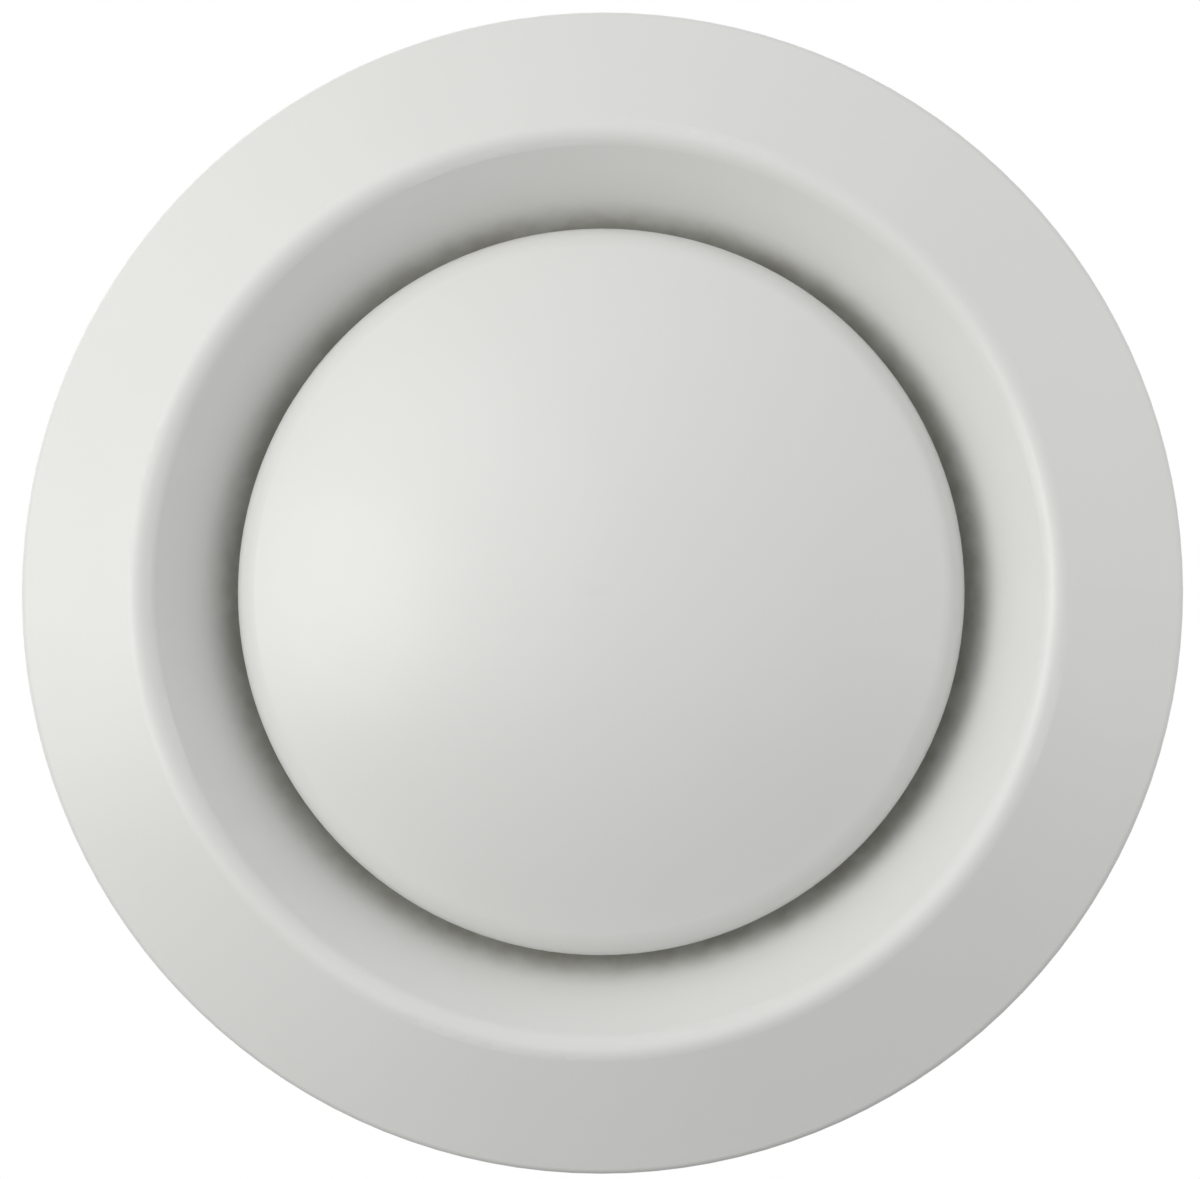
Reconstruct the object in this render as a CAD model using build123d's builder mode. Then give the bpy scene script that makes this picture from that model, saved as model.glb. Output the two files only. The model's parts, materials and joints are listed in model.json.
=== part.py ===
"""Disc valve for extract air, for a round duct of 125 mm, with its bayonet mounting frame.

The wall plane is y = 0. The room is on the -Y side, the duct runs along +Y, +Z is up, and the
valve's own axis is the Y axis. All sizes are in millimetres and degrees.
"""
from build123d import *
from math import asin, cos, degrees, radians, sin, sqrt, tan
import os

os.makedirs("parts", exist_ok=True)

# Sheets and clearances
ring_sheet = 0.8
disc_sheet = 0.8
collar_sheet = 0.7
frame_sheet = 0.8
bridge_sheet = 1.5
cup_sheet = 1.0
weld_gap = 0.05
soft_gap = 0.3
pick_tolerance = 0.01

# Mounting frame in the wall, which the other pieces take their radii from
spigot_radius = 62.0
spigot_length = 50.0
frame_rim_width = 10.0
frame_bend = 1.2
bead_start = 31.0
bead_width = 5.0
bead_depth = 1.0
bead_bend = 0.9
lead_in_length = 4.0
lead_in_depth = 0.8
fixing_holes = 4
fixing_hole_radius = 2.25
fixing_offset = 5.3
fixing_first_angle = 45.0

# Gasket behind the flange
gasket_frame_gap = 1.5
gasket_width = 6.0
gasket_bond = 0.2

# Front ring: edge, conical flange, rolled crest, funnel throat and neck
ring_overhang = 2.5
ring_edge_gap = 0.6
ring_skirt = 3.0
ring_edge_bend = 1.1
flange_angle = 25.0
crest_overhang = 2.0
crest_bend = 3.2
throat_angle = 50.0
throat_width = 17.0
neck_bend = 4.0
neck_end = 13.0

# Disc: dome, rolled rim and inward hem
mouth_width = 12.7
dome_radius = 105.0
rim_roll = 5.0
hem_bend = 1.2
hem_width = 2.3
closed_gap = 0.3
rest_opening = 5.0
full_opening = 20.0

# Seal inside the rim
seal_width = 3.8
seal_front = 3.0
seal_rear = 2.6

# Bayonet: headed studs in the frame, and slots in the collar
stud_count = 3
stud_first_angle = 40.0
stud_depth = 12.0
stud_radius = 2.0
stud_head_radius = 3.2
stud_head_thickness = 1.2
stud_head_gap = 0.5
stud_play = 0.4
twist_angle = 18.0

# Collar behind the throat
collar_play = 2.5
collar_end = 26.0
collar_flare = 3.5
collar_bend = 1.7

# Bridge across the collar
bridge_front = 20.0
bridge_width = 16.0
bridge_tab = 10.0
bridge_bend = 2.2
bridge_corner = 2.0
rib_inner = 13.0
rib_end_gap = 12.0
rib_width = 6.0
rib_height = 1.2
rivet_radius = 1.5
rivet_head_radius = 2.6
rivet_head_height = 1.2
rivet_tail_height = 0.6
rivet_spacing = 8.5
rivet_hole_gap = 0.05
rivet_seat_gap = 0.06

# Spindle with its nuts and washers
spindle_radius = 4.0
spindle_chamfer = 0.8
thread_gap = 0.06
bridge_hole_gap = 0.5
nut_across_flats = 13.0
weld_nut_height = 6.5
thin_nut_height = 4.0
nut_crown = 30.0
spring_washer_radius = 7.0
spring_washer_thickness = 1.6
spring_washer_split = 12.0
washer_gap = 0.2
journal_radius = 3.0
journal_length = 4.6
stop_washer_radius = 8.0
stop_washer_thickness = 1.2
stop_margin = 0.5
stop_play = 0.08
clip_radius = 5.5
clip_thickness = 0.7
clip_groove_depth = 0.8
clip_mouth = 60.0
clip_recess = 1.2

# Cup behind the dome
cup_flange_outer = 27.0
cup_flange_inner = 20.0
cup_floor_radius = 13.0
cup_floor_depth = 10.0
cup_bend = 1.5
cup_washer_radius = 9.0
cup_washer_thickness = 1.6
spindle_reach = 4.5


# Places worked out from the sizes above

def throat_front(radius):
    """The depth of the throat's front face at a radius."""
    return crest_depth + (crest_radius - radius) * tan(radians(throat_angle))


def throat_rear(radius):
    """The depth of the throat's rear face at a radius."""
    return throat_front(radius) + ring_sheet / cos(radians(throat_angle))


def flange_rear(radius):
    """The depth of the flange's rear face at a radius."""
    front = edge_corner_depth - (ring_radius - radius) * tan(radians(flange_angle))
    return front + ring_sheet / cos(radians(flange_angle))


def dome_rear(radius, gap):
    """The depth of the dome's rear face at a radius, with a gap behind it."""
    return dome_centre_depth - sqrt((dome_radius - disc_sheet - gap) ** 2 - radius ** 2)


def radial_plane(angle):
    """A plane through the valve's axis, with its own x pointing outwards at an angle."""
    a = radians(angle)
    return Plane(origin=(0, 0, 0), x_dir=(cos(a), 0, sin(a)), z_dir=(-sin(a), 0, cos(a)))


def wall_plane(radius, angle, depth):
    """A plane that faces outwards at a radius, an angle and a depth, with its own x along the axis."""
    a = radians(angle)
    origin = (radius * cos(a), depth, radius * sin(a))
    return Plane(origin=origin, x_dir=(0, 1, 0), z_dir=(cos(a), 0, sin(a)))


def cross_plane(depth):
    """A plane across the valve's axis at a depth, facing the duct."""
    return Plane(origin=(0, depth, 0), x_dir=(1, 0, 0), z_dir=(0, 1, 0))


spigot_inner = spigot_radius - frame_sheet
frame_rim_radius = spigot_radius + frame_rim_width
fixing_circle_radius = spigot_radius + fixing_offset
gasket_inner = frame_rim_radius + gasket_frame_gap
gasket_outer = gasket_inner + gasket_width

ring_radius = gasket_outer + ring_overhang
crest_radius = spigot_radius + crest_overhang
neck_radius = crest_radius - throat_width
edge_corner_depth = -ring_edge_gap - ring_skirt
crest_depth = edge_corner_depth - (ring_radius - crest_radius) * tan(radians(flange_angle))

disc_radius = crest_radius - mouth_width
roll_angle = degrees(asin((disc_radius - rim_roll) / (dome_radius - rim_roll)))
dome_depth = dome_radius - (dome_radius - rim_roll) * cos(radians(roll_angle))
hem_clearance = (hem_bend + closed_gap) / cos(radians(throat_angle))
rim_closed = throat_front(disc_radius - hem_bend) - hem_clearance
rim_depth = rim_closed - rest_opening
dome_front = rim_depth - dome_depth
dome_centre_depth = dome_front + dome_radius

collar_radius = spigot_inner - collar_play
collar_inner = collar_radius - collar_sheet
stud_angles = [stud_first_angle + 360 * i / stud_count for i in range(stud_count)]
slot_radius = stud_radius + stud_play

bridge_outer = collar_inner - weld_gap
bridge_inner = bridge_outer - bridge_sheet
bridge_rear = bridge_front + bridge_sheet
rivet_depth = bridge_front - bridge_tab / 2
rivet_angle = degrees(asin(rivet_spacing / 2 / bridge_outer))
rivet_angles = [side + turn for side in (0, 180) for turn in (-rivet_angle, rivet_angle)]

cup_floor_front = dome_front + cup_floor_depth
cup_floor_rear = cup_floor_front + cup_sheet
cup_rear_nut_front = cup_floor_rear + cup_washer_thickness
cup_spring_front = cup_floor_front - spring_washer_thickness
cup_front_nut_front = cup_spring_front - thin_nut_height

lock_washer_front = bridge_rear
lock_nut_front = lock_washer_front + spring_washer_thickness
lock_nut_rear = lock_nut_front + thin_nut_height
travel_out = full_opening - rest_opening
stop_washer_front = lock_nut_rear + travel_out + stop_margin
spindle_front = dome_front + spindle_reach
shoulder_depth = stop_washer_front - stop_play
clip_front = stop_washer_front + stop_washer_thickness + stop_play
spindle_rear = shoulder_depth + journal_length


# Front ring: the section's front face runs from the edge at the wall to the end of the neck
with BuildPart() as front_ring:
    with BuildSketch(Plane.XY):
        with BuildLine():
            FilletPolyline(
                (ring_radius, -ring_edge_gap),
                (ring_radius, edge_corner_depth),
                (crest_radius, crest_depth),
                (neck_radius, throat_front(neck_radius)),
                (neck_radius, neck_end),
                radius=(ring_edge_bend, crest_bend, neck_bend),
            )
            offset(amount=ring_sheet, side=Side.RIGHT)
        make_face()
    revolve(axis=Axis.Y)
front_ring.part.label = "front_ring"
export_step(front_ring.part, "parts/front_ring.step")


# Collar: its flare lies behind the throat, and its slots take the frame's studs
flare_end = collar_inner + collar_flare
weld_depth = weld_gap / cos(radians(throat_angle))
with BuildPart() as collar:
    with BuildSketch(Plane.XY):
        with BuildLine():
            FilletPolyline(
                (flare_end, throat_rear(flare_end) + weld_depth),
                (collar_inner, throat_rear(collar_inner) + weld_depth),
                (collar_inner, collar_end),
                radius=collar_bend,
            )
            offset(amount=collar_sheet, side=Side.RIGHT)
        make_face()
    revolve(axis=Axis.Y)
    for angle in stud_angles:
        with BuildSketch(radial_plane(angle)):
            with Locations((collar_radius, stud_depth)):
                Rectangle(4 * collar_sheet, 2 * slot_radius)
        revolve(axis=Axis.Y, revolution_arc=twist_angle, mode=Mode.SUBTRACT)
        for end in (angle, angle - twist_angle):
            with BuildSketch(wall_plane(collar_inner - collar_sheet, end, stud_depth)):
                Circle(slot_radius)
            extrude(amount=3 * collar_sheet, mode=Mode.SUBTRACT)
        entry = collar_end - stud_depth
        with BuildSketch(wall_plane(collar_inner - collar_sheet, angle - twist_angle, stud_depth)):
            with Locations((entry / 2, 0)):
                Rectangle(entry, 2 * slot_radius)
        extrude(amount=3 * collar_sheet, mode=Mode.SUBTRACT)
    for angle in rivet_angles:
        with BuildSketch(wall_plane(collar_inner - collar_sheet, angle, rivet_depth)):
            Circle(rivet_radius + rivet_hole_gap)
        extrude(amount=3 * collar_sheet, mode=Mode.SUBTRACT)
collar.part.label = "collar"
export_step(collar.part, "parts/collar.step")


# Flange gasket: foam between the sloping flange and the wall plane
bond_depth = gasket_bond / cos(radians(flange_angle))
with BuildPart() as flange_gasket:
    with BuildSketch(Plane.XY):
        with BuildLine():
            Polyline(
                (gasket_inner, 0),
                (gasket_outer, 0),
                (gasket_outer, flange_rear(gasket_outer) + bond_depth),
                (gasket_inner, flange_rear(gasket_inner) + bond_depth),
                close=True,
            )
        make_face()
    revolve(axis=Axis.Y)
flange_gasket.part.label = "flange_gasket"
export_step(flange_gasket.part, "parts/flange_gasket.step")


# Mounting frame: the section's rear face runs along the wall and then along the duct
bead_top = spigot_radius - bead_depth
lead_in_start = spigot_length - lead_in_length
with BuildPart() as mounting_frame:
    with BuildSketch(Plane.XY):
        with BuildLine():
            FilletPolyline(
                (frame_rim_radius, 0),
                (spigot_radius, 0),
                (spigot_radius, bead_start),
                (bead_top, bead_start + bead_depth),
                (bead_top, bead_start + bead_width - bead_depth),
                (spigot_radius, bead_start + bead_width),
                (spigot_radius, lead_in_start),
                (spigot_radius - lead_in_depth, spigot_length),
                radius=(frame_bend, bead_bend, bead_bend, bead_bend, bead_bend, bead_bend),
            )
            offset(amount=frame_sheet, side=Side.LEFT)
        make_face()
    revolve(axis=Axis.Y)
    with BuildSketch(cross_plane(-frame_sheet)):
        with PolarLocations(fixing_circle_radius, fixing_holes, start_angle=fixing_first_angle):
            Circle(fixing_hole_radius)
    extrude(amount=frame_sheet, mode=Mode.SUBTRACT)
mounting_frame.part.label = "mounting_frame"
export_step(mounting_frame.part, "parts/mounting_frame.step")


# Bayonet studs: necks through the collar's slots, heads inside it, feet on the sleeve's inner wall
head_outer = collar_inner - stud_head_gap
with BuildPart() as bayonet_studs:
    for angle in stud_angles:
        with BuildSketch(wall_plane(head_outer, angle, stud_depth)):
            Circle(stud_radius)
        extrude(amount=spigot_radius - head_outer)
    with BuildSketch(cross_plane(stud_depth - stud_head_radius)):
        Circle(spigot_inner)
    extrude(amount=2 * stud_head_radius, mode=Mode.INTERSECT)
    for angle in stud_angles:
        with BuildSketch(wall_plane(head_outer - stud_head_thickness, angle, stud_depth)):
            Circle(stud_head_radius)
        extrude(amount=stud_head_thickness)
    head_edges = bayonet_studs.edges().filter_by(
        lambda edge: edge.geom_type == GeomType.CIRCLE and abs(edge.radius - stud_head_radius) < pick_tolerance
    )
    chamfer(head_edges, length=stud_head_thickness / 4)
bayonet_studs.part.label = "bayonet_studs"
export_step(bayonet_studs.part, "parts/bayonet_studs.step")


# Bridge: a web across the collar, tabs bent forward along its wall, and a pressed rib on each side
with BuildPart() as bridge:
    with BuildSketch(cross_plane(bridge_front)):
        Circle(bridge_outer)
        Rectangle(2 * bridge_outer, bridge_width, mode=Mode.INTERSECT)
    extrude(amount=bridge_sheet)
    with BuildSketch(cross_plane(bridge_front - bridge_tab)):
        Circle(bridge_outer)
        Circle(bridge_inner, mode=Mode.SUBTRACT)
        Rectangle(2 * bridge_outer, bridge_width, mode=Mode.INTERSECT)
    extrude(amount=bridge_tab)
    outer_bends = bridge.edges().filter_by(GeomType.CIRCLE).group_by(Axis.Y)[-1]
    fillet(outer_bends, radius=bridge_bend)
    inner_bends = bridge.edges().filter_by(GeomType.CIRCLE).filter_by(
        lambda edge: abs(edge.radius - bridge_inner) < pick_tolerance
    ).group_by(Axis.Y)[-1]
    fillet(inner_bends, radius=bridge_bend - bridge_sheet)
    tab_corners = bridge.edges().filter_by(GeomType.LINE).group_by(Axis.Y)[0]
    fillet(tab_corners, radius=bridge_corner)
    rib_outer = bridge_inner - rib_end_gap
    rib_centre = (rib_inner + rib_outer) / 2
    rib_length = rib_outer - rib_inner
    with BuildSketch(cross_plane(bridge_rear)):
        with Locations((-rib_centre, 0), (rib_centre, 0)):
            SlotOverall(rib_length, rib_width)
    extrude(amount=rib_height, taper=30)
    with BuildSketch(cross_plane(bridge_front)):
        with Locations((-rib_centre, 0), (rib_centre, 0)):
            SlotOverall(rib_length - bridge_sheet, rib_width - bridge_sheet)
    extrude(amount=rib_height, taper=30, mode=Mode.SUBTRACT)
    with BuildSketch(cross_plane(bridge_front)):
        Circle(spindle_radius + bridge_hole_gap)
    extrude(amount=bridge_sheet, mode=Mode.SUBTRACT)
    for angle in rivet_angles:
        with BuildSketch(wall_plane(bridge_inner - bridge_sheet, angle, rivet_depth)):
            Circle(rivet_radius + rivet_hole_gap)
        extrude(amount=3 * bridge_sheet, mode=Mode.SUBTRACT)
bridge.part.label = "bridge"
export_step(bridge.part, "parts/bridge.step")


# Bridge rivets: domed heads on the tabs' inner side, flat tails on the collar's outer side
head_base = bridge_inner - rivet_seat_gap
with BuildPart() as bridge_rivets:
    for angle in rivet_angles:
        with BuildSketch(wall_plane(head_base, angle, rivet_depth)):
            Circle(rivet_radius)
        extrude(amount=collar_radius - head_base)
        with BuildSketch(wall_plane(collar_radius, angle, rivet_depth)):
            Circle(rivet_head_radius)
        extrude(amount=rivet_tail_height)
        with BuildSketch(wall_plane(head_base, angle, rivet_depth)):
            Circle(rivet_head_radius)
        extrude(amount=-rivet_head_height, taper=35)
bridge_rivets.part.label = "bridge_rivets"
export_step(bridge_rivets.part, "parts/bridge_rivets.step")


# Nuts and washers on the spindle

def hex_nut(label, front, height):
    """A hexagon nut on the valve's axis, crowned at both ends, with a plain running bore."""
    corner_radius = nut_across_flats / 2 / cos(radians(30))
    crown = (corner_radius - nut_across_flats / 2) * tan(radians(nut_crown))
    with BuildPart() as nut:
        with BuildSketch(cross_plane(front)):
            RegularPolygon(nut_across_flats / 2, 6, major_radius=False)
            Circle(spindle_radius + thread_gap, mode=Mode.SUBTRACT)
        extrude(amount=height)
        with BuildSketch(Plane.XY):
            with BuildLine():
                Polyline(
                    (0, front),
                    (nut_across_flats / 2, front),
                    (corner_radius, front + crown),
                    (corner_radius, front + height - crown),
                    (nut_across_flats / 2, front + height),
                    (0, front + height),
                    close=True,
                )
            make_face()
        revolve(axis=Axis.Y, mode=Mode.INTERSECT)
    nut.part.label = label
    export_step(nut.part, f"parts/{label}.step")


def spring_washer(label, front):
    """A split spring washer on the valve's axis."""
    with BuildPart() as washer:
        with BuildSketch(radial_plane(90 - spring_washer_split / 2)):
            with Locations((spindle_radius + washer_gap, front)):
                width = spring_washer_radius - spindle_radius - washer_gap
                Rectangle(width, spring_washer_thickness, align=(Align.MIN, Align.MIN))
        revolve(axis=Axis.Y, revolution_arc=360 - spring_washer_split)
    washer.part.label = label
    export_step(washer.part, f"parts/{label}.step")


hex_nut("weld_nut", bridge_front - weld_nut_height, weld_nut_height)
spring_washer("lock_washer", lock_washer_front)
hex_nut("lock_nut", lock_nut_front, thin_nut_height)
hex_nut("cup_front_nut", cup_front_nut_front, thin_nut_height)
spring_washer("cup_spring_washer", cup_spring_front)
hex_nut("cup_rear_nut", cup_rear_nut_front, weld_nut_height)


# Plain washer behind the cup's floor
with BuildPart() as cup_washer:
    with BuildSketch(cross_plane(cup_floor_rear)):
        Circle(cup_washer_radius)
        Circle(spindle_radius + washer_gap, mode=Mode.SUBTRACT)
    extrude(amount=cup_washer_thickness)
cup_washer.part.label = "cup_washer"
export_step(cup_washer.part, "parts/cup_washer.step")


# Spindle: a plain rod for the thread, with a turned-down and grooved end for the stop washer
groove_front = clip_front - stop_play / 2
groove_rear = clip_front + clip_thickness + stop_play / 2
with BuildPart() as spindle:
    with BuildSketch(Plane.XY):
        with BuildLine():
            Polyline(
                (0, spindle_front),
                (spindle_radius - spindle_chamfer, spindle_front),
                (spindle_radius, spindle_front + spindle_chamfer),
                (spindle_radius, shoulder_depth),
                (journal_radius, shoulder_depth),
                (journal_radius, groove_front),
                (journal_radius - clip_groove_depth, groove_front),
                (journal_radius - clip_groove_depth, groove_rear),
                (journal_radius, groove_rear),
                (journal_radius, spindle_rear - spindle_chamfer),
                (journal_radius - spindle_chamfer, spindle_rear),
                (0, spindle_rear),
                close=True,
            )
        make_face()
    revolve(axis=Axis.Y)
spindle.part.label = "spindle"
export_step(spindle.part, "parts/spindle.step")


# Stop washer: loose on the spindle's turned-down end
with BuildPart() as stop_washer:
    with BuildSketch(cross_plane(stop_washer_front)):
        Circle(stop_washer_radius)
        Circle(journal_radius + stop_play, mode=Mode.SUBTRACT)
    extrude(amount=stop_washer_thickness)
stop_washer.part.label = "stop_washer"
export_step(stop_washer.part, "parts/stop_washer.step")


# Retaining clip: an open ring with recesses between the lobes that sit in the spindle's groove
clip_bore = journal_radius - clip_groove_depth + stop_play / 2
with BuildPart() as retaining_clip:
    with BuildSketch(cross_plane(clip_front)):
        Circle(clip_radius)
        Circle(clip_bore, mode=Mode.SUBTRACT)
        with PolarLocations(clip_bore, 3, start_angle=30):
            Circle(clip_recess, mode=Mode.SUBTRACT)
        mouth = clip_bore * cos(radians(clip_mouth / 2))
        with Locations((0, -clip_radius / 2 - clip_bore / 2)):
            Rectangle(2 * mouth, clip_radius, mode=Mode.SUBTRACT)
    extrude(amount=clip_thickness)
retaining_clip.part.label = "retaining_clip"
export_step(retaining_clip.part, "parts/retaining_clip.step")


# Disc: dome, rolled rim and hem, with the section's front face drawn from the centre outwards
roll_start = (dome_radius * sin(radians(roll_angle)),
              dome_centre_depth - dome_radius * cos(radians(roll_angle)))
with BuildPart() as valve_disc:
    with BuildSketch(Plane.XY):
        with BuildLine():
            dome = TangentArc((0, dome_front), roll_start, tangent=(1, 0))
            roll = TangentArc(roll_start, (disc_radius, rim_depth), tangent=dome % 1)
            hem = TangentArc(roll @ 1, (disc_radius - hem_bend, rim_depth + hem_bend), tangent=(0, 1))
            Line(hem @ 1, (disc_radius - hem_width, rim_depth + hem_bend))
            offset(amount=disc_sheet, side=Side.LEFT)
        make_face()
    revolve(axis=Axis.Y)
valve_disc.part.label = "valve_disc"
export_step(valve_disc.part, "parts/valve_disc.step")


# Disc seal: foam held inside the hem
seal_outer = disc_radius - hem_width - soft_gap
with BuildPart() as disc_seal:
    with BuildSketch(cross_plane(rim_depth - seal_front)):
        Circle(seal_outer)
        Circle(seal_outer - seal_width, mode=Mode.SUBTRACT)
    extrude(amount=seal_front + seal_rear)
disc_seal.part.label = "disc_seal"
export_step(disc_seal.part, "parts/disc_seal.step")


# Cup: its flange lies behind the dome, and its floor holds the spindle between two nuts
with BuildPart() as disc_cup:
    with BuildSketch(Plane.XY):
        with BuildLine():
            FilletPolyline(
                (cup_flange_outer, dome_rear(cup_flange_outer, weld_gap)),
                (cup_flange_inner, dome_rear(cup_flange_inner, weld_gap)),
                (cup_floor_radius, cup_floor_front),
                (spindle_radius + washer_gap, cup_floor_front),
                radius=cup_bend,
            )
            offset(amount=cup_sheet, side=Side.RIGHT)
        make_face()
    revolve(axis=Axis.Y)
disc_cup.part.label = "disc_cup"
export_step(disc_cup.part, "parts/disc_cup.step")
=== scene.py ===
"""Looks for a disc valve for extract air: coated front ring and disc, galvanised mounting frame.

Lengths are in metres. The valve's own axis is the Y axis: the room is on the -Y side, the duct runs
along +Y, the wall plane is y = 0 and +Z is up.
"""
import bpy
import json
import numpy as np
from math import cos, pi, radians, sin, tan, tau
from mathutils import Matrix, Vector


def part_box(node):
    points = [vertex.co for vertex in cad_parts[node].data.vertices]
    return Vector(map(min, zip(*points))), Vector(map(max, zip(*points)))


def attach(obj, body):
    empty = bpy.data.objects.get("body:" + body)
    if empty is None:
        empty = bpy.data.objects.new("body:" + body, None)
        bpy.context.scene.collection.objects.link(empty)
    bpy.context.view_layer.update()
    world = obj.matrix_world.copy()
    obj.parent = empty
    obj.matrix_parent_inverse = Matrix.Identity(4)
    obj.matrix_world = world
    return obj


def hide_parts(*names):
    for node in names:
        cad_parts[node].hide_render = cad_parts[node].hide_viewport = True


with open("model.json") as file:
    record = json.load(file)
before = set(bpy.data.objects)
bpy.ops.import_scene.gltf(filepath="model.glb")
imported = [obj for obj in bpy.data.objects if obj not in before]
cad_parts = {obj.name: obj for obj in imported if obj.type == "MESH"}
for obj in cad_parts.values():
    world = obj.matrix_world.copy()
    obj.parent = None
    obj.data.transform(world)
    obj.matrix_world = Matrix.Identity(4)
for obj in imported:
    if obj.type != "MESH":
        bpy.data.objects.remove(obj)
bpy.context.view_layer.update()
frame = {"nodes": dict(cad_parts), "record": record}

mm = 0.001
nodes = frame["nodes"]

# Photograph: its size, and in its pixels the valve's centre and the radius of the flange
photo_width = 1200
photo_height = 1179
valve_centre = (601.5, 592.1)
flange_radius = 581.1

# Camera: it looks from a little to the right of the valve's axis and below it
camera_distance = 1.2
camera_off_axis = 4
camera_around = -45
flange_edge_depth = 2.3 * mm
sensor_width = 36.0

# Light: each lamp's angle off the valve's axis, its angle round that axis from the right over the
# top, its watts, its size and its colour
ambient_strength = 0.47
lamp_distance = 1.5
plain_white = (1.0, 1.0, 1.0)
warm_white = (1.0, 0.998, 0.96)
lamps = {
    "left_lamp": (46, 180, 4.0, 0.9, warm_white),
    "front_left_lamp": (30, 160, 3.9, 1.5, plain_white),
    "far_left_lamp": (55, 160, 6.6, 2.0, warm_white),
    "right_lamp": (78, 0, 7.6, 2.0, plain_white),
    "back_lamp": (140, 120, 6.0, 2.2, plain_white),
}

# Floor
floor_level = -0.16
floor_radius = 0.9
floor_solid_radius = 0.35
floor_clear_radius = 0.97 * floor_radius
floor_columns = 96
floor_tones = ((0.86, 0.86, 0.86), (0.88, 0.88, 0.88))
floor_tones_per_metre = 14.0
floor_bounce_colour = (0.36, 0.36, 0.36)
floor_roughness = 0.9

# Spindle's thread and its turned-down end
thread_pitch = 1.25 * mm
thread_depth = 0.72 * mm
thread_runout = 1.4 * mm
thread_rows_per_turn = 12
thread_columns = 64
thread_sharpness = 1.6
thread_sharp_angle = 44
journal_radius = 3.0 * mm
groove_radius = 2.2 * mm
spindle_chamfer = 0.8 * mm
clip_play = 0.04 * mm
washer_play = 0.08 * mm

# Foam rings: the ripple's waves are each a count round the ring and a start in radians
gasket_inner = 73.5 * mm
flange_angle = 25
gasket_joint_angle = -64
seal_width = 3.8 * mm
seal_joint_angle = 118
foam_corner = 0.35 * mm
foam_corner_points = 6
foam_ripple = 0.06 * mm
foam_waves = ((23, 0.0), (41, 1.3), (67, 0.4))
foam_joint_depth = 0.45 * mm
foam_joint_width = 0.45 * mm
foam_columns = 720
foam_sharp_angle = 80

# Projection welds of the cup: the turns are parts of a circle, and the dimple's sizes are parts of
# the hill's
weld_count = 3
weld_first_turn = 0.25
weld_ring_radius = 23.5 * mm
weld_radius = 2.2 * mm
weld_height = 0.25 * mm
weld_sink = 0.04 * mm
weld_dimple_depth = 0.35
weld_dimple_width = 0.28
weld_first_row = 0.04
weld_rows = 12
weld_columns = 28
weld_sharp_angle = 60
weld_search_depth = 0.1

# Shared effects: how far the surface turns at a rubbed edge and the noise that breaks the rubbing up,
# the borders and veins of zinc crystals, and the part of the finer lumps
edge_turn = (0.01, 0.16)
edge_breaks = (0.35, 0.6)
edge_least_rubbed = 0.35
crystal_warp = 2.5 * mm
crystal_scatter = 3.0
crystal_border = 0.08
vein_share = 0.38
vein_edges = (0.32, 0.68)
vein_fineness = 5.0
vein_height_share = 0.5
fine_lumps_share = 0.35

# White powder coat, with painted shade and dust darkening the neck
coat_tones = ((0.808, 0.808, 0.794), (0.792, 0.792, 0.776))
coat_worn_colour = (0.7, 0.7, 0.7)
coat_wear = 0.3
coat_roughness = (0.28, 0.34)
coat_peel_depth = 0.012 * mm
# Dark olive colour of the neck: painted shade behind the disc's rim, mixed with dust
neck_shade_and_dust_colour = (0.25, 0.242, 0.165)
neck_shade_and_dust_roughness = 0.5
neck_shade_and_dust_share = (0.42, 0.62)
neck_shade_and_dust_begins = (-2.5 * mm, 3 * mm)
neck_shade_and_dust_fades = (8 * mm, 14 * mm)
neck_shade_and_dust_left_in_duct = 0.4
dome_centre = (2.9 * mm, 3.4 * mm)

# Galvanised sheet
crystal_tones = ((0.47, 0.49, 0.51), (0.72, 0.735, 0.74))
crystal_gloss = 0.16
crystal_height = 0.02 * mm
sheet_dull_colour = (0.56, 0.57, 0.58)
sheet_dullness = 0.3
sheet_worn_colour = (0.8, 0.8, 0.8)
sheet_wear = 0.6
sheet_worn_gloss = 0.1
sheet_roughness = (0.44, 0.56)
sheet_grain_depth = 0.006 * mm

# Zinc plate, with grime at the thread's root
plate_tints = ((0.68, 0.7, 0.725), (0.73, 0.715, 0.66))
plate_worn_colour = (0.82, 0.82, 0.81)
plate_wear = 0.5
plate_roughness = (0.2, 0.34)
plate_ring_depth = 0.006 * mm
grime_colour = (0.3, 0.29, 0.27)
grime_radius = (3.35 * mm, 3.85 * mm)
grime_share = 0.55
grime_roughness = 0.3

# Closed-cell foam
foam_tones = ((0.105, 0.105, 0.11), (0.15, 0.15, 0.152))
foam_dust_colour = (0.2, 0.2, 0.2)
foam_dustiness = 0.35
foam_roughness = (0.82, 0.95)
foam_cells_per_metre = 1900.0
foam_pit = (0.1, 0.55)
foam_skin_depth = 0.05 * mm


# Shapes

def grid_faces(rows, columns, rows_join):
    """The corners of every face of a grid whose columns join up, and whose rows join up or not."""
    last = rows if rows_join else rows - 1
    row, column = np.meshgrid(np.arange(last), np.arange(columns), indexing="ij")
    next_row = (row + 1) % rows
    next_column = (column + 1) % columns
    corners = (
        row * columns + column,
        row * columns + next_column,
        next_row * columns + next_column,
        next_row * columns + column,
    )
    return np.stack(corners, axis=-1).reshape(-1, 4)


def make_piece(name, points, faces, material, body, sharp_angle):
    """A mesh object from an array of points and a list of faces, riding on a body."""
    mesh = bpy.data.meshes.new(name)
    mesh.from_pydata(points.reshape(-1, 3).tolist(), [], faces)
    mesh.polygons.foreach_set("use_smooth", np.ones(len(mesh.polygons), dtype=bool))
    mesh.set_sharp_from_angle(angle=radians(sharp_angle))
    mesh.materials.append(material)
    piece = bpy.data.objects.new(name, mesh)
    bpy.context.scene.collection.objects.link(piece)
    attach(piece, body)
    return piece


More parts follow.
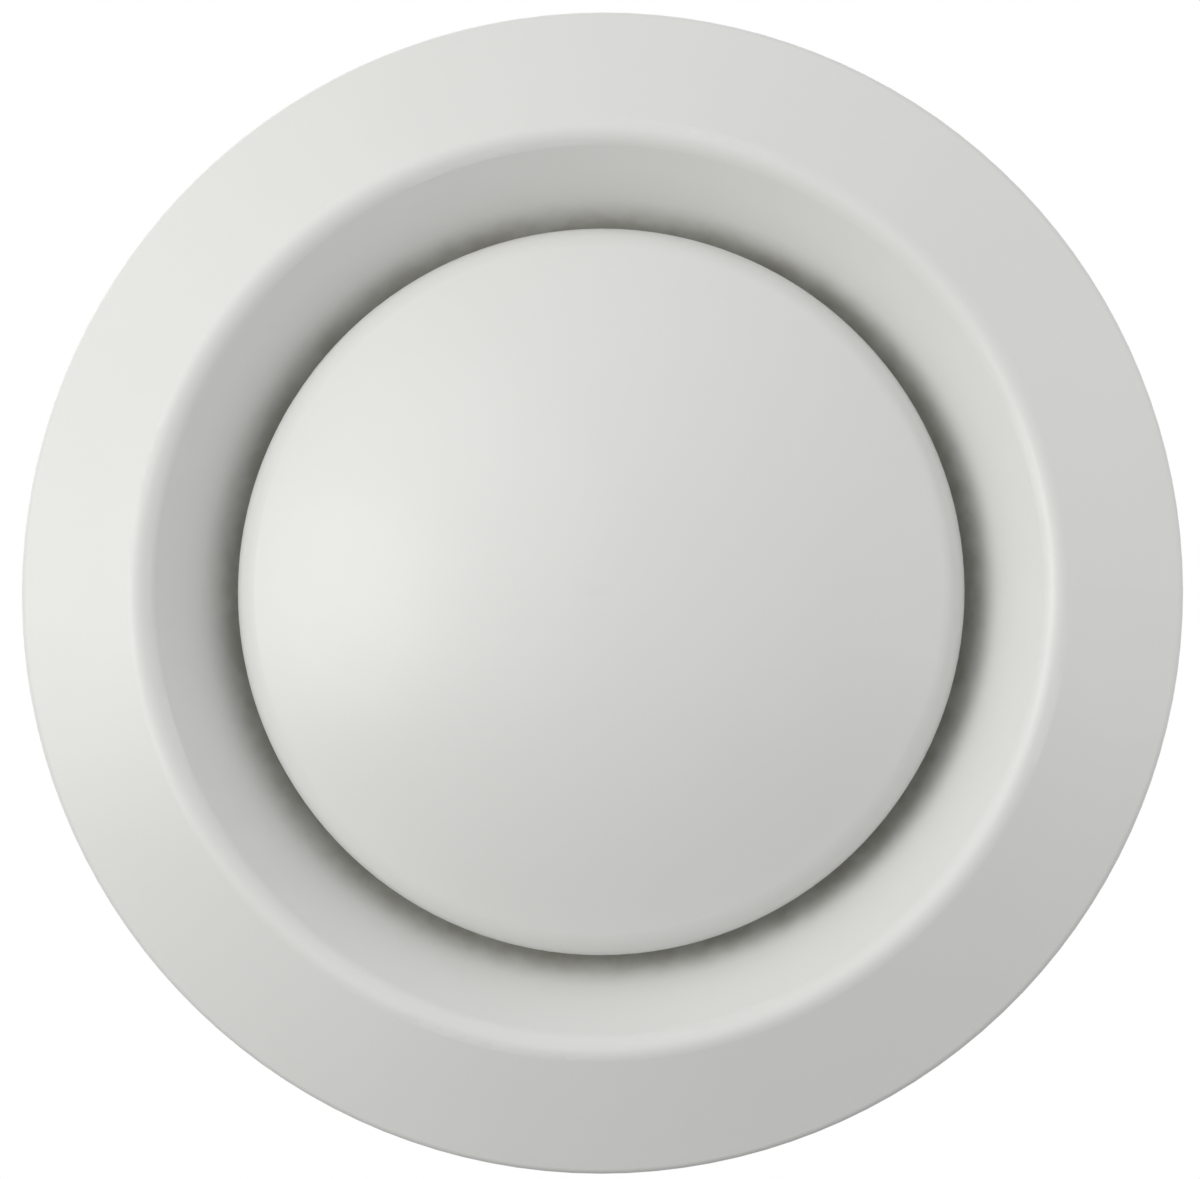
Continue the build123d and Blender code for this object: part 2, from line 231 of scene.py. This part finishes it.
def around_axis(radius, depth, angle):
    """Points at a radius from the valve's axis, at a depth along it and at an angle about it."""
    radius, depth, angle = np.broadcast_arrays(radius, depth, angle)
    return np.stack((radius * np.cos(angle), depth, radius * np.sin(angle)), axis=-1)


def full_circle(count):
    """Evenly spaced angles of one turn, as the one row of an array."""
    return np.linspace(0, tau, count, endpoint=False)[None, :]


def capped(points, first_pole, last_pole):
    """A grid's points with a pole beyond each end, and its faces with a fan to each pole."""
    rows, columns = points.shape[:2]
    column = np.arange(columns)
    following = (column + 1) % columns
    last_row = (rows - 1) * columns
    first = np.full(columns, rows * columns)
    sides = grid_faces(rows, columns, rows_join=False)[:, ::-1]
    first_fan = np.stack((first, column, following), axis=-1)
    last_fan = np.stack((first + 1, last_row + following, last_row + column), axis=-1)
    faces = sides.tolist() + first_fan.tolist() + last_fan.tolist()
    return np.vstack((points.reshape(-1, 3), [first_pole, last_pole])), faces


def threaded_spindle(material):
    """The spindle, turned about the valve's axis, with a right-hand thread.

    The radius is the thread's top less its depth times a rounded wave. The wave's phase is the depth
    divided by the pitch, plus the angle as a part of a turn. The front chamfer cuts it off and it
    fades out at the shoulder, where the journal and the clip's groove follow as plain steps.
    """
    low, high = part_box("spindle")
    top = high[0]
    front = low[1]
    rear = high[1]
    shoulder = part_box("stop_washer")[0][1] - washer_play
    clip_low, clip_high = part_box("retaining_clip")
    groove_front = clip_low[1] - clip_play
    groove_rear = clip_high[1] + clip_play

    rows = round((shoulder - front) / thread_pitch * thread_rows_per_turn)
    depth = np.linspace(front, shoulder, rows)[:, None]
    angle = full_circle(thread_columns)
    phase = depth / thread_pitch + angle / tau
    wave = np.tanh(thread_sharpness * np.cos(tau * phase)) / np.tanh(thread_sharpness)
    fade = np.clip((shoulder - depth) / thread_runout, 0, 1)
    radius = top - thread_depth * (1 - wave) / 2 * fade
    radius = np.minimum(radius, top - spindle_chamfer + depth - front)

    steps = (
        (journal_radius, shoulder),
        (journal_radius, groove_front),
        (groove_radius, groove_front),
        (groove_radius, groove_rear),
        (journal_radius, groove_rear),
        (journal_radius, rear - spindle_chamfer),
        (journal_radius - spindle_chamfer, rear),
    )
    step_radius, step_depth = np.array(steps).T[:, :, None]
    grid = np.vstack((around_axis(radius, depth, angle), around_axis(step_radius, step_depth, angle)))
    points, faces = capped(grid, (0, front, 0), (0, rear, 0))
    name = "threaded_spindle"
    piece = make_piece(name, points, faces, material, "disc", thread_sharp_angle)
    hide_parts("spindle")


def rounded_section(corners, corner_radius, corner_points):
    """A closed section with each corner turned into an arc, swung evenly from one side to the next."""
    corners = np.array(corners)
    before = np.roll(corners, 1, axis=0) - corners
    after = np.roll(corners, -1, axis=0) - corners
    before /= np.linalg.norm(before, axis=1, keepdims=True)
    after /= np.linalg.norm(after, axis=1, keepdims=True)
    half_angle = np.arccos((before * after).sum(axis=1)) / 2
    bisector = before + after
    bisector /= np.linalg.norm(bisector, axis=1, keepdims=True)
    centre = corners + bisector * (corner_radius / np.sin(half_angle))[:, None]
    reach = (corner_radius / np.tan(half_angle))[:, None]
    start = (corners + before * reach - centre)[:, None]
    end = (corners + after * reach - centre)[:, None]
    swing = (pi - 2 * half_angle)[:, None, None]
    share = np.linspace(0, 1, corner_points)[None, :, None]
    arc = (np.sin((1 - share) * swing) * start + np.sin(share * swing) * end) / np.sin(swing)
    return (centre[:, None] + arc).reshape(-1, 2)


def foam_ring(name, node, corners, material, body, joint_angle):
    """A foam ring that stands for a node: a rounded section carried round the valve's axis.

    Each point of the section moves towards the section's middle by a ripple, which is a sum of waves
    along the angle, and by a notch shaped as a bell curve where the two ends of the strip meet.
    """
    section = rounded_section(corners, foam_corner, foam_corner_points)
    middle = section.mean(axis=0)
    outward = section - middle
    angle = full_circle(foam_columns)
    waves = sum(np.sin(count * angle + start) for count, start in foam_waves)
    ripple = foam_ripple * (1 + waves / len(foam_waves)) / 2
    along = np.angle(np.exp(1j * (angle - joint_angle))) * middle[0]
    notch = foam_joint_depth * np.exp(-((along / foam_joint_width) ** 2))
    shrink = 1 - (ripple + notch) / np.linalg.norm(outward, axis=1, keepdims=True)
    radius = middle[0] + outward[:, :1] * shrink
    depth = middle[1] + outward[:, 1:] * shrink
    points = around_axis(radius, depth, angle)
    faces = grid_faces(len(section), foam_columns, rows_join=True).tolist()
    piece = make_piece(name, points, faces, material, body, foam_sharp_angle)
    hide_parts(node)


def flange_gasket_foam(material):
    """The gasket's foam: its rear lies on the wall and its front follows the flange's slope."""
    low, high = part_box("flange_gasket")
    outer_front = low[1] + (high[0] - gasket_inner) * tan(radians(flange_angle))
    corners = (
        (gasket_inner, low[1]),
        (gasket_inner, high[1]),
        (high[0], high[1]),
        (high[0], outer_front),
    )
    joint = radians(gasket_joint_angle)
    foam_ring("gasket_foam", "flange_gasket", corners, material, "valve_body", joint)


def disc_seal_foam(material):
    """The seal's foam: a plain rectangle in section."""
    low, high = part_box("disc_seal")
    inner = high[0] - seal_width
    corners = ((inner, low[1]), (inner, high[1]), (high[0], high[1]), (high[0], low[1]))
    foam_ring("seal_foam", "disc_seal", corners, material, "disc", radians(seal_joint_angle))


def cup_welds(material):
    """Shallow domes where the cup's flange is welded to the disc.

    Each is a round patch on the flange, whose height is a cosine hill with a dimple at its centre.
    """
    cup = nodes["disc_cup"]
    bpy.context.view_layer.update()
    share = np.linspace(weld_first_row, 1, weld_rows)[:, None]
    angle = full_circle(weld_columns)
    dimple = weld_dimple_depth * np.exp(-((share / weld_dimple_width) ** 2))
    hill = (1 + np.cos(pi * share)) / 2 - dimple
    height = (weld_height * hill - weld_sink) * np.ones_like(angle)
    for number in range(weld_count):
        turn = tau * (number / weld_count + weld_first_turn)
        start = Vector((weld_ring_radius * cos(turn), weld_search_depth, weld_ring_radius * sin(turn)))
        seat, lift = cup.ray_cast(start, Vector((0, -1, 0)))[1:3]
        along = Vector((-sin(turn), 0, cos(turn)))
        across = along.cross(lift)
        patch = (
            np.array(seat)
            + (share * weld_radius * np.cos(angle))[..., None] * np.array(across)
            + (share * weld_radius * np.sin(angle))[..., None] * np.array(along)
            + height[..., None] * np.array(lift)
        )
        peak = np.array(seat) + np.array(lift) * height[0, 0]
        root = np.array(seat) - np.array(lift) * weld_sink
        points, faces = capped(patch, peak, root)
        name = f"cup_weld_{number + 1}"
        make_piece(name, points, faces, material, "disc", weld_sharp_angle)


# Node helpers

def add_node(tree, kind, inputs=None, **settings):
    """A node of a kind with its settings, and with its inputs set to values or joined to sockets."""
    made = tree.nodes.new("ShaderNode" + kind)
    for name, value in settings.items():
        setattr(made, name, value)
    for name, value in (inputs or {}).items():
        if isinstance(value, bpy.types.NodeSocket):
            tree.links.new(value, made.inputs[name])
        else:
            made.inputs[name].default_value = value
    return made


def arithmetic(tree, operation, first, second=0.0, clamp=False):
    """The result of a Math node on two values or sockets."""
    made = add_node(tree, "Math", {0: first, 1: second}, operation=operation, use_clamp=clamp)
    return made.outputs[0]


def between(tree, value, from_low, from_high, to_low=0.0, to_high=1.0):
    """A value eased from one range to another."""
    inputs = {"Value": value, 1: from_low, 2: from_high, 3: to_low, 4: to_high}
    made = add_node(tree, "MapRange", inputs, interpolation_type="SMOOTHSTEP")
    return made.outputs[0]


def spread(tree, mask, ends):
    """A mask from 0 to 1 turned into a value from one end to the other."""
    return between(tree, mask, 0.0, 1.0, *ends)


def raised(tree, value, mask, amount):
    """A value with an amount added where a mask is 1, and kept from 0 to 1."""
    return arithmetic(tree, "ADD", value, arithmetic(tree, "MULTIPLY", mask, amount), clamp=True)


def blend_colours(tree, share, first, second):
    """A mix of two colours by a share from 0 to 1."""
    made = add_node(tree, "Mix", {"Factor": share}, data_type="RGBA")
    for socket, colour in zip((made.inputs[6], made.inputs[7]), (first, second)):
        if isinstance(colour, bpy.types.NodeSocket):
            tree.links.new(colour, socket)
        else:
            socket.default_value = (*colour, 1)
    return made.outputs[2]


def tinted(tree, mask, strength, colour, tint):
    """A colour that goes some of the way to a tint where a mask is 1."""
    return blend_colours(tree, arithmetic(tree, "MULTIPLY", mask, strength), colour, tint)


def object_place(tree):
    """A point's place on the object."""
    return add_node(tree, "TexCoord").outputs["Object"]


def coordinates(tree, place):
    """The three coordinates of a place."""
    return add_node(tree, "SeparateXYZ", {0: place}).outputs


def distance_across(tree, first, second):
    """How far a point is from an axis, from its two coordinates across that axis."""
    flat_place = add_node(tree, "CombineXYZ", {0: first, 1: second})
    length = add_node(tree, "VectorMath", {0: flat_place.outputs[0]}, operation="LENGTH")
    return length.outputs["Value"]


def noise(tree, place, per_metre, detail):
    """The height, from 0 to 1, of noise over a place."""
    inputs = {"Vector": place, "Scale": per_metre, "Detail": detail}
    return add_node(tree, "TexNoise", inputs).outputs[0]


def effect_group(name, inputs, outputs):
    """A new node group with its inputs and their values, its outputs, and the node at each end."""
    group = bpy.data.node_groups.new(name, "ShaderNodeTree")
    for title, value in inputs.items():
        socket = group.interface.new_socket(title, in_out="INPUT", socket_type="NodeSocketFloat")
        socket.default_value = value
    for title in outputs:
        group.interface.new_socket(title, in_out="OUTPUT", socket_type="NodeSocketFloat")
    return group, group.nodes.new("NodeGroupInput"), group.nodes.new("NodeGroupOutput")


def use_effect(tree, group, **values):
    """An effect's group placed in a material, with its own values."""
    made = tree.nodes.new("ShaderNodeGroup")
    made.node_tree = group
    for title, value in values.items():
        made.inputs[title.replace("_", " ").capitalize()].default_value = value
    return made.outputs


# Effects that several finishes share

def mottle_effect():
    """Soft uneven patches, from noise on the object's own coordinates, sharpened about its middle."""
    group, start, end = effect_group("mottle", {"Per metre": 60, "Sharpness": 2.0}, ["Mask"])
    patches = noise(group, object_place(group), start.outputs["Per metre"], detail=4.0)
    centred = arithmetic(group, "SUBTRACT", patches, 0.5)
    sharpened = arithmetic(group, "MULTIPLY", centred, start.outputs["Sharpness"])
    group.links.new(arithmetic(group, "ADD", sharpened, 0.5, clamp=True), end.inputs["Mask"])
    return group


def edge_effect():
    """A mask of the outer edges, from how far a rounded edge would turn the surface, broken by noise."""
    group, start, end = effect_group("edge_wear", {"Width": 0.0006, "Breaks per metre": 900}, ["Mask"])
    rounded = add_node(group, "Bevel", {"Radius": start.outputs["Width"]}, samples=6)
    plain_normal = add_node(group, "NewGeometry").outputs["Normal"]
    inputs = {0: rounded.outputs[0], 1: plain_normal}
    same = add_node(group, "VectorMath", inputs, operation="DOT_PRODUCT")
    turned = between(group, arithmetic(group, "SUBTRACT", 1.0, same.outputs["Value"]), *edge_turn)
    breaks = noise(group, object_place(group), start.outputs["Breaks per metre"], detail=3.0)
    broken = between(group, breaks, *edge_breaks, edge_least_rubbed, 1.0)
    group.links.new(arithmetic(group, "MULTIPLY", turned, broken, clamp=True), end.inputs["Mask"])
    return group


def spangle_effect():
    """Zinc crystals: cells that each have their own tone, with feathered veins inside them."""
    group, start, end = effect_group("spangle", {"Per metre": 170}, ["Tone", "Height"])
    per_metre = start.outputs["Per metre"]
    place = object_place(group)
    warp = add_node(group, "TexNoise", {"Vector": place, "Scale": per_metre, "Detail": 2.0})
    inputs = {0: warp.outputs["Color"], 3: crystal_warp}
    moved = add_node(group, "VectorMath", inputs, operation="SCALE")
    warped = add_node(group, "VectorMath", {0: place, 1: moved.outputs[0]}, operation="ADD").outputs[0]
    inputs = {"Vector": warped, "Scale": per_metre}
    cells = add_node(group, "TexVoronoi", inputs)
    edges = add_node(group, "TexVoronoi", inputs, feature="DISTANCE_TO_EDGE")
    inputs = {0: cells.outputs["Color"], 3: crystal_scatter}
    scattered = add_node(group, "VectorMath", inputs, operation="SCALE")
    own_place = add_node(group, "VectorMath", {0: warped, 1: scattered.outputs[0]}, operation="ADD")
    finer = arithmetic(group, "MULTIPLY", per_metre, vein_fineness)
    inputs = {"Vector": own_place.outputs[0], "Scale": finer, "Detail": 3.0, "Distortion": 1.2}
    veins = between(group, add_node(group, "TexNoise", inputs).outputs[0], *vein_edges)
    cell_value = add_node(group, "SeparateColor", {0: cells.outputs["Color"]}).outputs[0]
    cell_tone = arithmetic(group, "MULTIPLY", cell_value, 1 - vein_share)
    vein_tone = arithmetic(group, "MULTIPLY", veins, vein_share)
    group.links.new(arithmetic(group, "ADD", cell_tone, vein_tone, clamp=True), end.inputs["Tone"])
    border = between(group, edges.outputs["Distance"], 0.0, crystal_border)
    vein_height = arithmetic(group, "MULTIPLY", vein_tone, vein_height_share)
    group.links.new(arithmetic(group, "ADD", border, vein_height), end.inputs["Height"])
    return group


def lumps_effect():
    """The even waviness of a coating or a foam's skin: broad lumps with finer ones on them."""
    group, start, end = effect_group("lumps", {"Per metre": 600, "Fineness": 3.0}, ["Height"])
    per_metre = start.outputs["Per metre"]
    place = object_place(group)
    broad = noise(group, place, per_metre, detail=1.0)
    finer = arithmetic(group, "MULTIPLY", per_metre, start.outputs["Fineness"])
    fine = noise(group, place, finer, detail=1.0)
    weaker = arithmetic(group, "MULTIPLY", fine, fine_lumps_share)
    group.links.new(arithmetic(group, "ADD", broad, weaker), end.inputs["Height"])
    return group


def turning_effect():
    """Fine rings round the valve's axis, as a tool leaves them on a turned or pressed face."""
    group, start, end = effect_group("turning_marks", {"Per metre": 6000}, ["Height"])
    place = coordinates(group, object_place(group))
    across = arithmetic(group, "POWER", place["X"], 2.0)
    upward = arithmetic(group, "POWER", place["Z"], 2.0)
    radius = arithmetic(group, "SQRT", arithmetic(group, "ADD", across, upward))
    inputs = {"W": radius, "Scale": start.outputs["Per metre"], "Detail": 2.0}
    rings = add_node(group, "TexNoise", inputs, noise_dimensions="1D")
    group.links.new(rings.outputs[0], end.inputs["Height"])
    return group


# Finishes

def new_finish(name):
    """An empty material and its shader, which is joined to the output."""
    material = bpy.data.materials.new(name)
    material.use_nodes = True
    tree = material.node_tree
    tree.nodes.clear()
    shader = add_node(tree, "BsdfPrincipled")
    output = add_node(tree, "OutputMaterial")
    tree.links.new(shader.outputs[0], output.inputs["Surface"])
    return material, tree, shader


def join(tree, shader, **sockets):
    """Joins sockets to the shader's inputs, which are named in lower case."""
    for name, socket in sockets.items():
        tree.links.new(socket, shader.inputs[name.replace("_", " ").title()])


def bump(tree, height, depth, strength, under=None):
    """A normal from a height between 0 and 1, whose full depth is in metres."""
    made = add_node(tree, "Bump", {"Height": height, "Distance": depth, "Strength": strength})
    if under is not None:
        tree.links.new(under, made.inputs["Normal"])
    return made.outputs["Normal"]


def mottle(tree, effects, per_metre, sharpness):
    """The mask of soft uneven patches, for one finish."""
    return use_effect(tree, effects["mottle"], per_metre=per_metre, sharpness=sharpness)["Mask"]


def rubbed_edges(tree, effects, width, breaks_per_metre):
    """The mask of rubbed edges, for one finish."""
    values = {"width": width, "breaks_per_metre": breaks_per_metre}
    return use_effect(tree, effects["edges"], **values)["Mask"]


def lumps(tree, effects, per_metre, fineness):
    """The height of lumps, for one finish."""
    return use_effect(tree, effects["lumps"], per_metre=per_metre, fineness=fineness)["Height"]


def normal_with_even_centre(tree, radius):
    """The surface's normal, taken from the faces themselves close to the valve's axis.

    The normal stored at the dome's centre point leans over, which would show there as a pale spot.
    """
    surface = add_node(tree, "NewGeometry")
    central = between(tree, radius, *dome_centre, 1.0, 0.0)
    made = add_node(tree, "Mix", {"Factor": central}, data_type="VECTOR")
    tree.links.new(surface.outputs["Normal"], made.inputs[4])
    tree.links.new(surface.outputs["True Normal"], made.inputs[5])
    return made.outputs[1]


def powder_coat_finish(effects):
    """White powder coat: a faint orange peel, soft tone changes, thinner at edges, and painted shade
    with dust darkening the neck.
    """
    material, tree, shader = new_finish("white_powder_coat")
    place = coordinates(tree, object_place(tree))
    patches = mottle(tree, effects, per_metre=38, sharpness=2.2)
    rubbed = rubbed_edges(tree, effects, width=0.5 * mm, breaks_per_metre=700)
    colour = blend_colours(tree, patches, *coat_tones)
    colour = tinted(tree, rubbed, coat_wear, colour, coat_worn_colour)
    # Painted shade mixed with dust: from just behind the disc's rim into the duct the coat turns a dark
    # olive, in patches
    inward = between(tree, place["Y"], *neck_shade_and_dust_begins)
    behind = between(tree, place["Y"], *neck_shade_and_dust_fades, 1.0, neck_shade_and_dust_left_in_duct)
    shade_and_dust_patches = spread(tree, mottle(tree, effects, per_metre=260, sharpness=3.0), neck_shade_and_dust_share)
    shaded_and_dusty = arithmetic(tree, "MULTIPLY", arithmetic(tree, "MULTIPLY", inward, behind), shade_and_dust_patches)
    colour = blend_colours(tree, shaded_and_dusty, colour, neck_shade_and_dust_colour)
    roughness = spread(tree, mottle(tree, effects, per_metre=120, sharpness=1.6), coat_roughness)
    roughness = raised(tree, roughness, shaded_and_dusty, neck_shade_and_dust_roughness)
    peel = lumps(tree, effects, per_metre=520, fineness=2.7)
    normal = normal_with_even_centre(tree, distance_across(tree, place["X"], place["Z"]))
    normal = bump(tree, peel, coat_peel_depth, strength=0.5, under=normal)
    join(tree, shader, base_color=colour, roughness=roughness, normal=normal)
    return material


def galvanised_finish(effects):
    """Hot-dip galvanised sheet: crystals of uneven tone and gloss, dull patches, bright edges."""
    material, tree, shader = new_finish("galvanised_sheet")
    crystals = use_effect(tree, effects["spangle"], per_metre=150)
    dull = mottle(tree, effects, per_metre=45, sharpness=3.0)
    rubbed = rubbed_edges(tree, effects, width=0.5 * mm, breaks_per_metre=800)
    colour = blend_colours(tree, crystals["Tone"], *crystal_tones)
    colour = tinted(tree, dull, sheet_dullness, colour, sheet_dull_colour)
    colour = tinted(tree, rubbed, sheet_wear, colour, sheet_worn_colour)
    roughness = spread(tree, dull, sheet_roughness)
    roughness = raised(tree, roughness, crystals["Tone"], -crystal_gloss)
    roughness = raised(tree, roughness, rubbed, -sheet_worn_gloss)
    grain = lumps(tree, effects, per_metre=1800, fineness=2.5)
    normal = bump(tree, crystals["Height"], crystal_height, strength=0.35)
    normal = bump(tree, grain, sheet_grain_depth, strength=0.4, under=normal)
    join(tree, shader, base_color=colour, roughness=roughness, normal=normal)
    shader.inputs["Metallic"].default_value = 1.0
    return material


def zinc_finish(effects):
    """Bright zinc plate: a faint blue and straw tint, fine tool rings, darker down in the thread."""
    material, tree, shader = new_finish("zinc_plate")
    place = coordinates(tree, object_place(tree))
    tint = mottle(tree, effects, per_metre=160, sharpness=2.5)
    rubbed = rubbed_edges(tree, effects, width=0.3 * mm, breaks_per_metre=1500)
    colour = blend_colours(tree, tint, *plate_tints)
    colour = tinted(tree, rubbed, plate_wear, colour, plate_worn_colour)
    radius = distance_across(tree, place["X"], place["Z"])
    root = between(tree, radius, *grime_radius, grime_share, 0.0)
    colour = blend_colours(tree, root, colour, grime_colour)
    roughness = spread(tree, mottle(tree, effects, per_metre=420, sharpness=2.0), plate_roughness)
    roughness = raised(tree, roughness, root, grime_roughness)
    rings = use_effect(tree, effects["turning"], per_metre=5200)["Height"]
    normal = bump(tree, rings, plate_ring_depth, strength=0.5)
    join(tree, shader, base_color=colour, roughness=roughness, normal=normal)
    shader.inputs["Metallic"].default_value = 1.0
    return material


def foam_finish(effects):
    """Closed-cell foam: a dark matt skin pitted by small cells, with a little pale dust on it."""
    material, tree, shader = new_finish("foam_skin")
    tone = mottle(tree, effects, per_metre=300, sharpness=2.0)
    cells = add_node(tree, "TexVoronoi", {"Vector": object_place(tree), "Scale": foam_cells_per_metre})
    pit = between(tree, cells.outputs["Distance"], *foam_pit)
    colour = blend_colours(tree, tone, *foam_tones)
    colour = tinted(tree, pit, foam_dustiness, colour, foam_dust_colour)
    roughness = spread(tree, tone, foam_roughness)
    skin = lumps(tree, effects, per_metre=700, fineness=3.0)
    normal = bump(tree, skin, foam_skin_depth, strength=0.5)
    normal = bump(tree, pit, foam_skin_depth, strength=0.6, under=normal)
    join(tree, shader, base_color=colour, roughness=roughness, normal=normal)
    return material


# Surroundings

def seen_directly(tree):
    """1 for a ray from the camera, off a glossy surface or through glass, and 0 for the others."""
    path = add_node(tree, "LightPath")
    seen = arithmetic(tree, "MAXIMUM", path.outputs["Is Camera Ray"], path.outputs["Is Glossy Ray"])
    return arithmetic(tree, "MAXIMUM", seen, path.outputs["Is Transmission Ray"])


def floor():
    """A plain pale round floor that fades out, below what the photograph's camera sees."""
    mesh = bpy.data.meshes.new("floor")
    rim = around_axis(floor_radius, floor_level, full_circle(floor_columns))[0]
    mesh.from_pydata(rim[:, [0, 2, 1]].tolist(), [], [list(range(floor_columns))])
    piece = bpy.data.objects.new("floor", mesh)
    bpy.context.scene.collection.objects.link(piece)
    material, tree, shader = new_finish("pale_floor")
    place = object_place(tree)
    tone = noise(tree, place, floor_tones_per_metre, detail=3.0)
    colour = blend_colours(tree, tone, *floor_tones)
    colour = blend_colours(tree, seen_directly(tree), floor_bounce_colour, colour)
    apart = coordinates(tree, place)
    reach = distance_across(tree, apart["X"], apart["Y"])
    solid = between(tree, reach, floor_solid_radius, floor_clear_radius, 1.0, 0.0)
    join(tree, shader, base_color=colour, alpha=solid)
    shader.inputs["Roughness"].default_value = floor_roughness
    mesh.materials.append(material)


def direction(off_axis, around):
    """The way from the valve to a point in the room, around from the right over the top, in degrees."""
    tilt = radians(off_axis)
    turn = radians(around)
    return Vector((sin(tilt) * cos(turn), -cos(tilt), sin(tilt) * sin(turn)))


def look_at_origin(piece, towards, distance):
    """Puts a lamp or the camera at a distance in a direction, facing the valve."""
    piece.location = towards * distance
    piece.rotation_euler = (-towards).to_track_quat("-Z", "Y").to_euler()


def lamp(name, off_axis, around, watts, size, colour):
    """A round soft lamp that faces the valve from off its axis."""
    light = bpy.data.lights.new(name, "AREA")
    light.shape = "DISK"
    light.size = size
    light.energy = watts
    light.color = colour
    piece = bpy.data.objects.new(name, light)
    bpy.context.scene.collection.objects.link(piece)
    look_at_origin(piece, direction(off_axis, around), lamp_distance)


def surroundings():
    """White where the camera, a reflection or glass looks out, and a plain even light elsewhere."""
    world = bpy.data.worlds.new("studio")
    world.use_nodes = True
    tree = world.node_tree
    tree.nodes.clear()
    colour = (*plain_white, 1)
    ambient = add_node(tree, "Background", {"Color": colour, "Strength": ambient_strength})
    white = add_node(tree, "Background", {"Color": colour, "Strength": 1.0})
    inputs = {0: seen_directly(tree), 1: ambient.outputs[0], 2: white.outputs[0]}
    mixed = add_node(tree, "MixShader", inputs)
    output = add_node(tree, "OutputWorld")
    tree.links.new(mixed.outputs[0], output.inputs["Surface"])
    bpy.context.scene.world = world


def camera():
    """The camera, with the lens that shows the flange as large as in the photograph.

    The small shift puts the valve's centre on its pixel.
    """
    ring_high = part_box("front_ring")[1]
    pixels_per_metre = flange_radius / ring_high[0]
    lens = bpy.data.cameras.new("camera")
    lens.sensor_width = sensor_width
    lens.lens = pixels_per_metre * (camera_distance - flange_edge_depth) / photo_width * sensor_width
    lens.shift_x = (photo_width / 2 - valve_centre[0]) / photo_width
    lens.shift_y = (valve_centre[1] - photo_height / 2) / photo_width
    piece = bpy.data.objects.new("camera", lens)
    bpy.context.scene.collection.objects.link(piece)
    look_at_origin(piece, direction(camera_off_axis, camera_around), camera_distance)
    bpy.context.scene.camera = piece


# The valve and its surroundings

effects = {
    "mottle": mottle_effect(),
    "edges": edge_effect(),
    "spangle": spangle_effect(),
    "lumps": lumps_effect(),
    "turning": turning_effect(),
}
finishes = {
    "powder_coat": powder_coat_finish(effects),
    "galvanised": galvanised_finish(effects),
    "zinc_plated": zinc_finish(effects),
    "foam": foam_finish(effects),
}
for part in frame["record"]["subparts"]:
    piece = nodes[part["node"]]
    for place in piece.material_slots:
        place.material = finishes[part["material_slot"]]

threaded_spindle(finishes["zinc_plated"])
flange_gasket_foam(finishes["foam"])
disc_seal_foam(finishes["foam"])
cup_welds(finishes["galvanised"])

floor()
surroundings()
for name, values in lamps.items():
    lamp(name, *values)
camera()

bpy.context.scene.view_settings.view_transform = "Standard"
